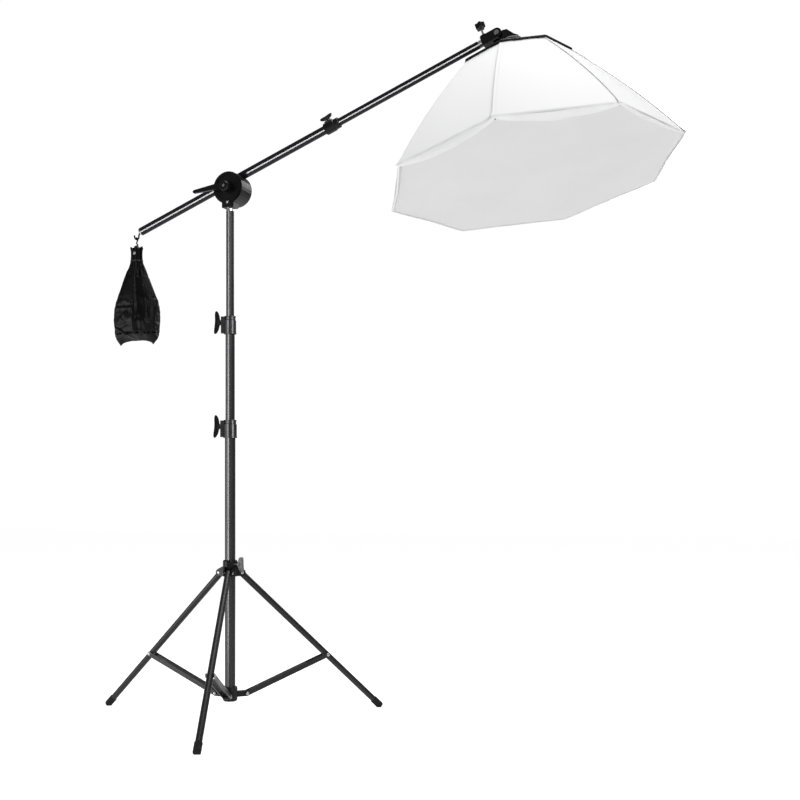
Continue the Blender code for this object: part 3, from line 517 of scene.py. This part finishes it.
def tube_along(mesh, path, radius, sides=8, closed=False):
    """Adds a round bar along a list of points to a mesh."""
    rings, count = [], len(path)
    side = None
    for k, point in enumerate(path):
        if closed:
            ahead = path[(k + 1) % count] - path[k - 1]
        else:
            ahead = path[min(k + 1, count - 1)] - path[max(k - 1, 0)]
        ahead = ahead.normalized()
        if side is None:
            side = ahead.orthogonal().normalized()
        side = (side - side.project(ahead)).normalized()
        other = ahead.cross(side)
        spots = []
        for n in range(sides):
            angle = 2 * math.pi * n / sides
            spots.append(point + radius * (math.cos(angle) * side + math.sin(angle) * other))
        rings.append([mesh.verts.new(spot) for spot in spots])
    for a, b in zip(rings, rings[1:] + (rings[:1] if closed else [])):
        for n in range(sides):
            m = (n + 1) % sides
            mesh.faces.new([a[n], a[m], b[m], b[n]])
    if not closed:
        mesh.faces.new(rings[0][::-1])
        mesh.faces.new(rings[-1])
    return mesh


def softbox_piece(name, mesh, look, place, thickness=0.0, offset=1.0):
    """A piece modelled in the softbox's own axes, thickened if it is cloth and put where the softbox is."""
    bmesh.ops.recalc_face_normals(mesh, faces=mesh.faces)
    made = add_piece(name, mesh, look.material)
    if thickness:
        use_modifier(made, "SOLIDIFY", thickness=thickness, offset=offset)
        apply_modifiers(made)
    made.data.transform(place)
    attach(made, "softbox")
    return made


def make_hem(place, looks):
    """Rolled hem round the lip's free edge, a little gathered between the ribs."""
    steps = 30
    path = [lip_point(panel, s / steps, 1.0) for panel in range(CORNERS) for s in range(steps)]
    mesh = tube_along(bmesh.new(), path, 0.0013, 8, closed=True)
    return softbox_piece("canopy_rolled_hem", mesh, looks["white_cloth"], place)


def make_rib_seams(place, looks):
    """The bound seam over each rib, from the rim's pocket to the back plate."""
    pocket = 0.06  # the seam widens over this share of its length, towards the rim
    mesh = bmesh.new()
    for panel in range(CORNERS):
        rows = []
        for r in range(41):
            part = r / 40
            middle = panel_point(panel, 0.0, part)
            outward = Vector((middle.x, middle.y, 0)).normalized()
            sides = Vector((-outward.y, outward.x, 0))
            wide = SEAM_WIDTH if part > pocket else SEAM_WIDTH + 0.0040 * (1 - part / pocket)
            row = []
            for step in range(-4, 5):
                reach = step / 4
                near = panel_point(panel if reach >= 0 else panel - 1, 0.0, part)
                slide = wide * reach
                sink = 0.40 * abs(slide)
                rise = SEAM_HEIGHT * (1 - reach * reach) - 0.0003
                row.append(near + sides * slide - outward * sink + outward * rise)
            rows.append(row)
        made = [[mesh.verts.new(p) for p in row] for row in rows]
        for a, b in zip(made, made[1:]):
            for c in range(len(a) - 1):
                mesh.faces.new([a[c], a[c + 1], b[c + 1], b[c]])
    return softbox_piece("canopy_rib_seams", mesh, looks["white_cloth"], place, thickness=0.0006)


def stitch(mesh, start, end):
    tube_along(mesh, [start, start.lerp(end, 0.5), end], THREAD, 5)


def make_stitching(place, looks):
    """Thread along both sides of every rib seam and round the hem."""
    rib_pitch, hem_stitches = 0.0145, 70  # pitch as a share of a panel's length; stitches to a panel
    mesh = bmesh.new()
    for panel in range(CORNERS):
        for side in (-1, 1):
            for n in range(66):
                part = 0.02 + n * rib_pitch
                ends = []
                for shift in (0.0, 0.0095):
                    middle = panel_point(panel, 0.0, min(part + shift, 1.0))
                    outward = Vector((middle.x, middle.y, 0)).normalized()
                    across = Vector((-outward.y, outward.x, 0))
                    ends.append(middle + across * 0.0030 * side + outward * THREAD)
                stitch(mesh, ends[0], ends[1])
        for n in range(hem_stitches):
            ends = []
            for shift in (0.0, 0.009):
                across = min((n + 0.2) / hem_stitches + shift, 1.0)
                ends.append(panel_point(panel, across, HEM_SEAM, 0.0004))
            stitch(mesh, ends[0], ends[1])
    return softbox_piece("canopy_stitching", mesh, looks["thread"], place)


def make_diffuser(place, looks):
    """The front cloth: one octagonal sheet, drawn tight to its corners and a little slack in the middle."""
    sides, rings = 160, 34
    face, outer = -CANOPY_DEPTH + 0.0022, RIM_RADIUS - FACE_INSET
    panel_angle = 2 * math.pi / CORNERS
    rows = []
    for r in range(1, rings + 1):
        share = r / rings
        row = []
        for s in range(sides):
            angle = FIRST_CORNER + 2 * math.pi * s / sides
            local = (2 * math.pi * s / sides) % panel_angle
            slack = slack_at(s * CORNERS // sides, local / panel_angle)
            cover = 0.0062 * (1 - min(1.0, slack)) * share ** 4
            edge = (outer + cover) * math.cos(panel_angle / 2) / math.cos(local - panel_angle / 2)
            pull = 0.0035 * (1 - math.cos(local * CORNERS)) / 2 * share ** 4
            radius = share * edge - pull
            corner = math.cos(local * CORNERS) * 0.5 + 0.5
            spread = abs(((local * CORNERS / (2 * math.pi)) + 0.5) % 1.0 - 0.5)
            outer_part = max(0.0, share - 0.45) ** 1.5
            folds = 0.0016 * math.sin(spread * 46) * math.exp(-spread * 7) * outer_part
            spot = Vector((radius * math.cos(angle) * 7, radius * math.sin(angle) * 7, 1.7))
            soft = noise.noise(spot) * 0.0018 * (1 - share ** 6)
            sag = -DIFFUSER_SAG * (1 - share * share) + soft + folds * corner - 0.55 * cover
            row.append(Vector((radius * math.cos(angle), radius * math.sin(angle), face + sag)))
        rows.append(row)
    mesh = grid_sheet(rows, lambda r, c: (rows[r][c % sides].x, rows[r][c % sides].y), closed=True)
    layer = mesh.loops.layers.uv.active
    centre = mesh.verts.new((0, 0, rows[0][0].z))
    mesh.verts.ensure_lookup_table()
    for s in range(sides):
        face_made = mesh.faces.new([mesh.verts[s], mesh.verts[(s + 1) % sides], centre])
        for loop in face_made.loops:
            loop[layer].uv = (loop.vert.co.x, loop.vert.co.y)
    cloth = softbox_piece("diffuser_cloth", mesh, looks["diffusion_cloth"], place, 0.0007, 0.0)
    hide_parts("diffuser")

    rim = [rows[-1][s] + Vector((0, 0, 0.0004)) for s in range(sides)]
    mesh = tube_along(bmesh.new(), rim, 0.0016, 8, closed=True)
    hem = softbox_piece("diffuser_elastic_hem", mesh, looks["diffusion_cloth"], place)


def make_rib_tips(place, looks):
    """The plastic cap on each rib's end, held in the corner of the rim."""
    mesh = bmesh.new()
    for k in range(CORNERS):
        angle = FIRST_CORNER + 2 * math.pi * k / CORNERS
        out = Vector((math.cos(angle), math.sin(angle), 0))
        pulled = (SLACK[k] + SLACK[k - 1]) / 2
        base = out * (RIM_RADIUS - 0.0085) + Vector((0, 0, -CANOPY_DEPTH + 0.0060))
        tip = out * (RIM_RADIUS - 0.0060) + Vector((0, 0, -CANOPY_DEPTH + 0.0010 - 0.0050 * pulled))
        path = [base, base.lerp(tip, 0.3), base.lerp(tip, 0.6), base.lerp(tip, 0.85), tip]
        sides = 10
        tube_along(mesh, path, RIB_TIP, sides)
        mesh.verts.ensure_lookup_table()
        for vert in mesh.verts[len(mesh.verts) - sides:]:
            vert.co = tip + (vert.co - tip) * 0.45
    tips = softbox_piece("rib_end_caps", mesh, looks["grey_plastic"], place)


# --- sandbag ---
def bag_size(drop):
    """Half width and half depth of the bag, at a drop below its top."""
    for (d0, w0, t0), (d1, w1, t1) in zip(BAG_SHAPE, BAG_SHAPE[1:]):
        if drop <= d1:
            share = (drop - d0) / (d1 - d0)
            return w0 + (w1 - w0) * share, t0 + (t1 - t0) * share
    return BAG_SHAPE[-1][1:]


def smooth_step(value):
    value = min(1.0, max(0.0, value))
    return value * value * (3 - 2 * value)


def bag_start(turn, drop):
    """A point of the part-filled bag about its top's middle: turn is an angle round it."""
    wide, deep = bag_size(drop)
    full = smooth_step((drop - 0.5 * NECK) / NECK)
    x = wide * math.copysign(abs(math.cos(turn)) ** (1.0 - 0.20 * full), math.cos(turn))
    y = deep * math.copysign(abs(math.sin(turn)) ** (1.0 + 0.15 * full), math.sin(turn))
    pleat = math.cos(9 * turn + 0.6) + 0.6 * math.cos(14 * turn + 2.0)
    gather = (0.0013 * (1 - full) + 0.0009 * math.exp(-((drop - 0.055) / 0.025) ** 2)) * pleat
    frill = 0.0020 * math.cos(5 * turn + 1.0) * (1 - smooth_step(drop / 0.012))
    arch = BAG_HEM_ARCH * (1 - (x / wide) ** 4) * smooth_step((drop - 0.205) / 0.031)
    return Vector((x + gather * math.cos(turn), y + gather * math.sin(turn), frill + arch - drop))


# creases in the front of the bag, and weaker in its back: ends as (x, drop), half width and height
CREASES = [
    ((-0.056, 0.145), (0.010, 0.148), 0.0030, -0.0026),
    ((-0.050, 0.150), (0.006, 0.154), 0.0030, 0.0014),
    ((0.004, 0.050), (0.011, 0.225), 0.0042, 0.0034),
    ((0.016, 0.060), (0.022, 0.215), 0.0060, -0.0024),
    ((-0.052, 0.196), (0.002, 0.226), 0.0024, 0.0036),
    ((-0.052, 0.192), (-0.010, 0.166), 0.0040, 0.0020),
    ((-0.040, 0.205), (-0.004, 0.190), 0.0050, -0.0022),
    ((0.006, 0.150), (-0.030, 0.186), 0.0032, 0.0022),
    ((0.034, 0.120), (0.042, 0.215), 0.0050, 0.0024),
    ((-0.016, 0.052), (-0.038, 0.132), 0.0042, 0.0020),
    ((0.018, 0.052), (0.040, 0.120), 0.0040, 0.0018),
]


def crease_lift(x, drop):
    """How far the creases lift or sink the cloth at a point of the bag's front."""
    total = 0.0
    for (x0, d0), (x1, d1), width, height in CREASES:
        line = Vector((x1 - x0, d1 - d0))
        spot = Vector((x - x0, drop - d0))
        along = max(0.0, min(1.0, spot.dot(line) / line.length_squared))
        away = (spot - line * along).length
        ends = min(1.0, 5 * min(along + 0.08, 1.08 - along))
        total += height * ends * math.exp(-((away / width) ** 2))
    return total


def make_sandbag(looks):
    """A sewn nylon bag hanging from its ring, gathered at the neck and slack round the sand."""
    low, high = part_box("sandbag")
    top = Vector(((low.x + high.x) / 2, (low.y + high.y) / 2, high.z + BAG_TOP_RISE))
    around, down, length = 136, 96, BAG_SHAPE[-1][0]
    rows = []
    for r in range(down + 1):
        turns = (2 * math.pi * c / around for c in range(around))
        rows.append([top + bag_start(turn, length * r / down) for turn in turns])
    pitch = BAG_ROUND / around
    mesh = grid_sheet(rows, lambda r, c: (c * pitch, r * length / down), closed=True)
    mesh.verts.ensure_lookup_table()
    first = down * around
    for c in range(around // 2):
        spots = [first + c, first + c + 1, first + (around - c - 1) % around, first + (around - c) % around]
        mesh.faces.new([mesh.verts[s] for s in dict.fromkeys(spots)])
    face_outward(mesh, top.y)
    bag = add_piece("sandbag_cloth", mesh, looks["black_nylon"].material)
    settled = drape_bag(bag, around)
    for vert, place in zip(bag.data.vertices, settled):
        vert.co = place
    bag.data.update()
    normals = [v.normal.copy() for v in bag.data.vertices]
    for vert, normal in zip(bag.data.vertices, normals):
        spot = vert.co - top
        fade = smooth_step((-spot.z - 0.030) / 0.030)
        front = crease_lift(spot.x, -spot.z) if normal.y < 0 else crease_lift(-spot.x, -spot.z) * 0.7
        crumple = 0.0011 * noise.noise(spot * 60) + 0.0007 * noise.noise(spot * 140)
        vert.co += normal * fade * (front * min(1.0, abs(normal.y) * 1.6) + crumple)
    keep_off(bag, "sand_fill", SAND_GAP)
    use_modifier(bag, "SUBSURF", levels=1, render_levels=1)
    use_modifier(bag, "SOLIDIFY", thickness=0.0007, offset=1.0)
    apply_modifiers(bag)
    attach(bag, "bag")
    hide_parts("sandbag")
    make_bag_trim(top, looks)


def face_outward(mesh, middle):
    """Turns the bag's faces outward, judged by the one furthest in front of its middle plane."""
    bmesh.ops.recalc_face_normals(mesh, faces=mesh.faces)
    front = min(mesh.faces, key=lambda face: face.calc_center_median().y - middle)
    if front.normal.y > 0:
        bmesh.ops.reverse_faces(mesh, faces=mesh.faces)


def keep_off(piece, node, gap):
    """Pushes a cloth's points out of a CAD solid that it lies over."""
    inner = frame["nodes"][node].data
    tree = BVHTree.FromPolygons([v.co for v in inner.vertices], [tuple(p.vertices) for p in inner.polygons])
    for vert in piece.data.vertices:
        near, normal, _, away = tree.find_nearest(vert.co)
        if (vert.co - near).dot(normal) < gap and away < 0.02:
            vert.co = near + normal * gap


def make_bag_trim(top, looks):
    """The neck's sewn band and the eyelet through it."""
    path = []
    for n in range(64):
        turn = 2 * math.pi * n / 64
        path.append(top + bag_start(turn, BAND_DROP) + Vector((math.cos(turn), math.sin(turn), 0)) * 0.0008)
    mesh = bmesh.new()
    for drop in (-0.0012, 0.0, 0.0012):
        tube_along(mesh, [p + Vector((0, 0, drop)) for p in path], 0.0007, 6, closed=True)
    band = add_piece("bag_neck_band", mesh, looks["dark_thread"].material)
    mesh = bmesh.new()
    front = bag_start(-math.pi / 2, EYELET_DROP).y - 0.0006
    centre = top + Vector((0.0, 0.0, -EYELET_DROP)) + Vector((0, front, 0))
    ring = []
    for n in range(28):
        turn = 2 * math.pi * n / 28
        ring.append(centre + Vector((0.0023 * math.cos(turn), 0, 0.0023 * math.sin(turn))))
    tube_along(mesh, ring, 0.0013, 10, closed=True)
    eyelet = add_piece("bag_eyelet", mesh, looks["zinc_steel"].material)
    for made, slot in ((band, "black_nylon"), (eyelet, "zinc_steel")):
        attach(made, "bag")
    return [band, eyelet]


def drape_bag(bag, around):
    """Where the cloth's points settle, when it is a little larger than its start and lightly filled."""
    start = [v.co.copy() for v in bag.data.vertices]
    scene = bpy.context.scene
    pins = bag.vertex_groups.new(name="pins")
    held = BAG_ROWS_HELD * around
    pins.add(list(range(held)), 1.0, "REPLACE")
    pins.add(list(range(held, held + BAG_ROWS_SOFT * around)), 0.4, "REPLACE")
    cloth = bag.modifiers.new("drape", "CLOTH")
    settings = cloth.settings
    settings.quality = 7
    settings.mass = 0.15
    settings.tension_stiffness = settings.compression_stiffness = 40
    settings.shear_stiffness = 20
    settings.bending_stiffness = 0.15
    settings.vertex_group_mass = "pins"
    settings.use_pressure = True
    settings.uniform_pressure_force = 0.3
    settings.shrink_min = -0.05
    settings.effector_weights.gravity = 0.1
    cloth.collision_settings.use_collision = False
    cloth.collision_settings.use_self_collision = False
    for step in range(1, BAG_FRAMES + 1):
        scene.frame_set(step)
    view = bpy.context.evaluated_depsgraph_get()
    settled = [v.co.copy() for v in bag.evaluated_get(view).data.vertices]
    bag.modifiers.remove(cloth)
    scene.frame_set(1)
    for n, place in enumerate(settled):
        motion = place - start[n]
        if motion.length > BAG_REACH:
            settled[n] = start[n] + motion * (BAG_REACH / motion.length)
    return settled


# --- hardware ---
CAP_WALL, CAP_ON_LEG, CAP_PAST_LEG = 0.0012, 0.017, 0.0110  # of the rubber cap on a leg's end
RIVET_LOW, RIVET_HIGH, RIVET_RADIUS = 0.0093, 0.0121, 0.0046  # a head's two ends, out from the leg's middle


def leg_lines():
    """For each leg: its number, pivot, direction down the leg, length, and the way its pivot points."""
    low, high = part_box("lower_column")
    column = (low + high) / 2
    for number in (1, 2, 3):
        pivot = Vector(JOINTS[f"leg_{number}_swing"]["pos_m"])
        outward = Vector((pivot.x - column.x, pivot.y - column.y, 0)).normalized()
        end = Vector((column.x, column.y, FOOT[1])) + outward * FOOT[0]
        along = end - pivot
        yield number, pivot, along.normalized(), along.length, Vector((-outward.y, outward.x, 0))


def turned(mesh, profile, start, along, sides):
    """A closed outline of (radius, distance) turned about a line, added to a mesh."""
    side = along.orthogonal().normalized()
    other = along.cross(side)
    rings = []
    for radius, distance in profile:
        spots = []
        for n in range(sides if radius else 1):
            angle = 2 * math.pi * n / sides
            away = radius * (math.cos(angle) * side + math.sin(angle) * other)
            spots.append(start + along * distance + away)
        rings.append([mesh.verts.new(spot) for spot in spots])
    for low, high in zip(rings, rings[1:] + rings[:1]):
        if len(low) == len(high) == 1:
            continue
        for n in range(sides):
            corners = [low[n % len(low)], low[(n + 1) % sides % len(low)]]
            corners += [high[(n + 1) % sides % len(high)], high[n % len(high)]]
            mesh.faces.new(list(dict.fromkeys(corners)))
    return mesh


def make_feet(looks):
    """A slim rubber cap on each leg's end, with three grip rings, cut flat where it meets the floor."""
    for number, pivot, along, length, _ in leg_lines():
        bore = LEG_RADIUS + 0.0003
        wide = bore + CAP_WALL
        low, high = length - CAP_ON_LEG, length + CAP_PAST_LEG
        profile = [(bore, low), (wide - 0.0003, low), (wide, low + 0.0006)]
        for ring in range(3):
            spot = low + 0.0045 + ring * 0.0042
            profile += [(wide, spot - 0.0010), (wide - 0.0004, spot - 0.0005), (wide - 0.0004, spot + 0.0005)]
            profile.append((wide, spot + 0.0010))
        profile += [(wide, high - 0.0030), (wide - 0.0009, high - 0.0009), (wide - 0.0030, high), (0, high)]
        profile += [(0, length + 0.0005), (bore, length + 0.0005)]
        mesh = turned(bmesh.new(), profile, pivot, along, 40)
        everything = mesh.verts[:] + mesh.edges[:] + mesh.faces[:]
        cut = bmesh.ops.bisect_plane(
            mesh, geom=everything, plane_co=(0, 0, 0), plane_no=(0, 0, -1), clear_outer=True
        )
        rim = [edge for edge in cut["geom_cut"] if isinstance(edge, bmesh.types.BMEdge)]
        bmesh.ops.edgenet_fill(mesh, edges=rim)
        bmesh.ops.recalc_face_normals(mesh, faces=mesh.faces)
        foot = add_piece(f"leg_cap_{number}", mesh, looks["black_rubber"].material)
        foot.data.set_sharp_from_angle(angle=math.radians(40))
        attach(foot, f"leg_{number}_body")
        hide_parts(f"leg_foot_{number}")


def make_rivets(looks):
    """Plated rivet heads over both ends of the pin where each brace grips its leg."""
    for number, pivot, along, _, across in leg_lines():
        mesh = bmesh.new()
        for way in (-1, 1):
            profile = [(0, RIVET_LOW), (RIVET_RADIUS, RIVET_LOW), (RIVET_RADIUS, 0.0102), (0.0041, 0.0110)]
            profile += [(0.0030, 0.0116), (0.0015, 0.0120), (0, RIVET_HIGH)]
            turned(mesh, profile, pivot + along * BRACE_ON_LEG, across * way, 24)
        bmesh.ops.recalc_face_normals(mesh, faces=mesh.faces)
        heads = add_piece(f"brace_rivets_{number}", mesh, looks["zinc_steel"].material)
        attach(heads, f"brace_{number}_body")


def dress_cad(looks):
    """Gives each CAD node the look of its material slot."""
    for node in frame["nodes"].values():
        for slot in node.material_slots:
            slot.material = looks[slot.material.name.split(".")[0]].material


def main():
    looks = make_looks()
    make_camera()
    make_studio()
    dress_cad(looks)
    place = softbox_frame()
    make_canopy(place, looks)
    make_diffuser(place, looks)
    make_rib_tips(place, looks)
    make_sandbag(looks)
    make_feet(looks)
    make_rivets(looks)


main()
